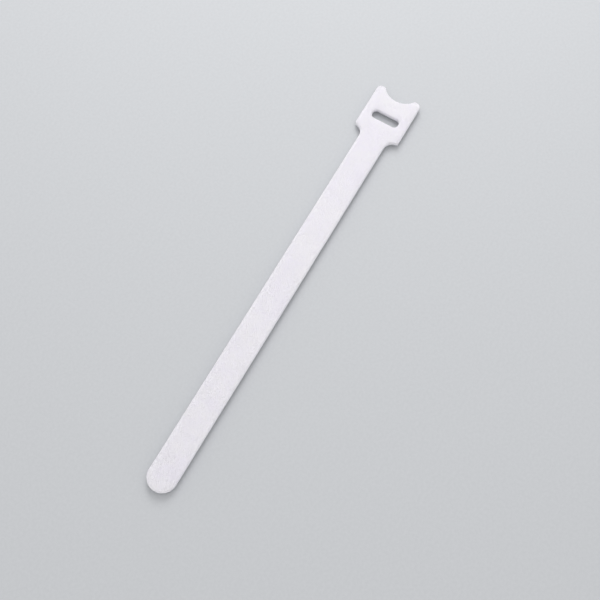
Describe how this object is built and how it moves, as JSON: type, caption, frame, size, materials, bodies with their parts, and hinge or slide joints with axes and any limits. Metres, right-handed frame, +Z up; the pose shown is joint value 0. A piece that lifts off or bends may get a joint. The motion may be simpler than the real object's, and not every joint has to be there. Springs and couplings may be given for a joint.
{
  "type": "hook and loop cable tie",
  "caption": "Flat reusable strap with a round tip, a slotted head with a concave end, loop pile on its upper face and barbed hook rows on its lower face.",
  "frame": {"origin": "centre of the footprint, at the level of the hook tips that the tie lies on", "axes": "+X along the strap from the round tip to the head, +Y across it, +Z up out of the loop pile"},
  "size_m": [0.2, 0.0214, 0.0036],
  "materials": {
    "white_nylon": "brushed white nylon loop pile, matt, with moulded white nylon hooks below"
  },
  "bodies": {
    "root": {"cable_tie": "white_nylon"}
  },
  "joints": []
}
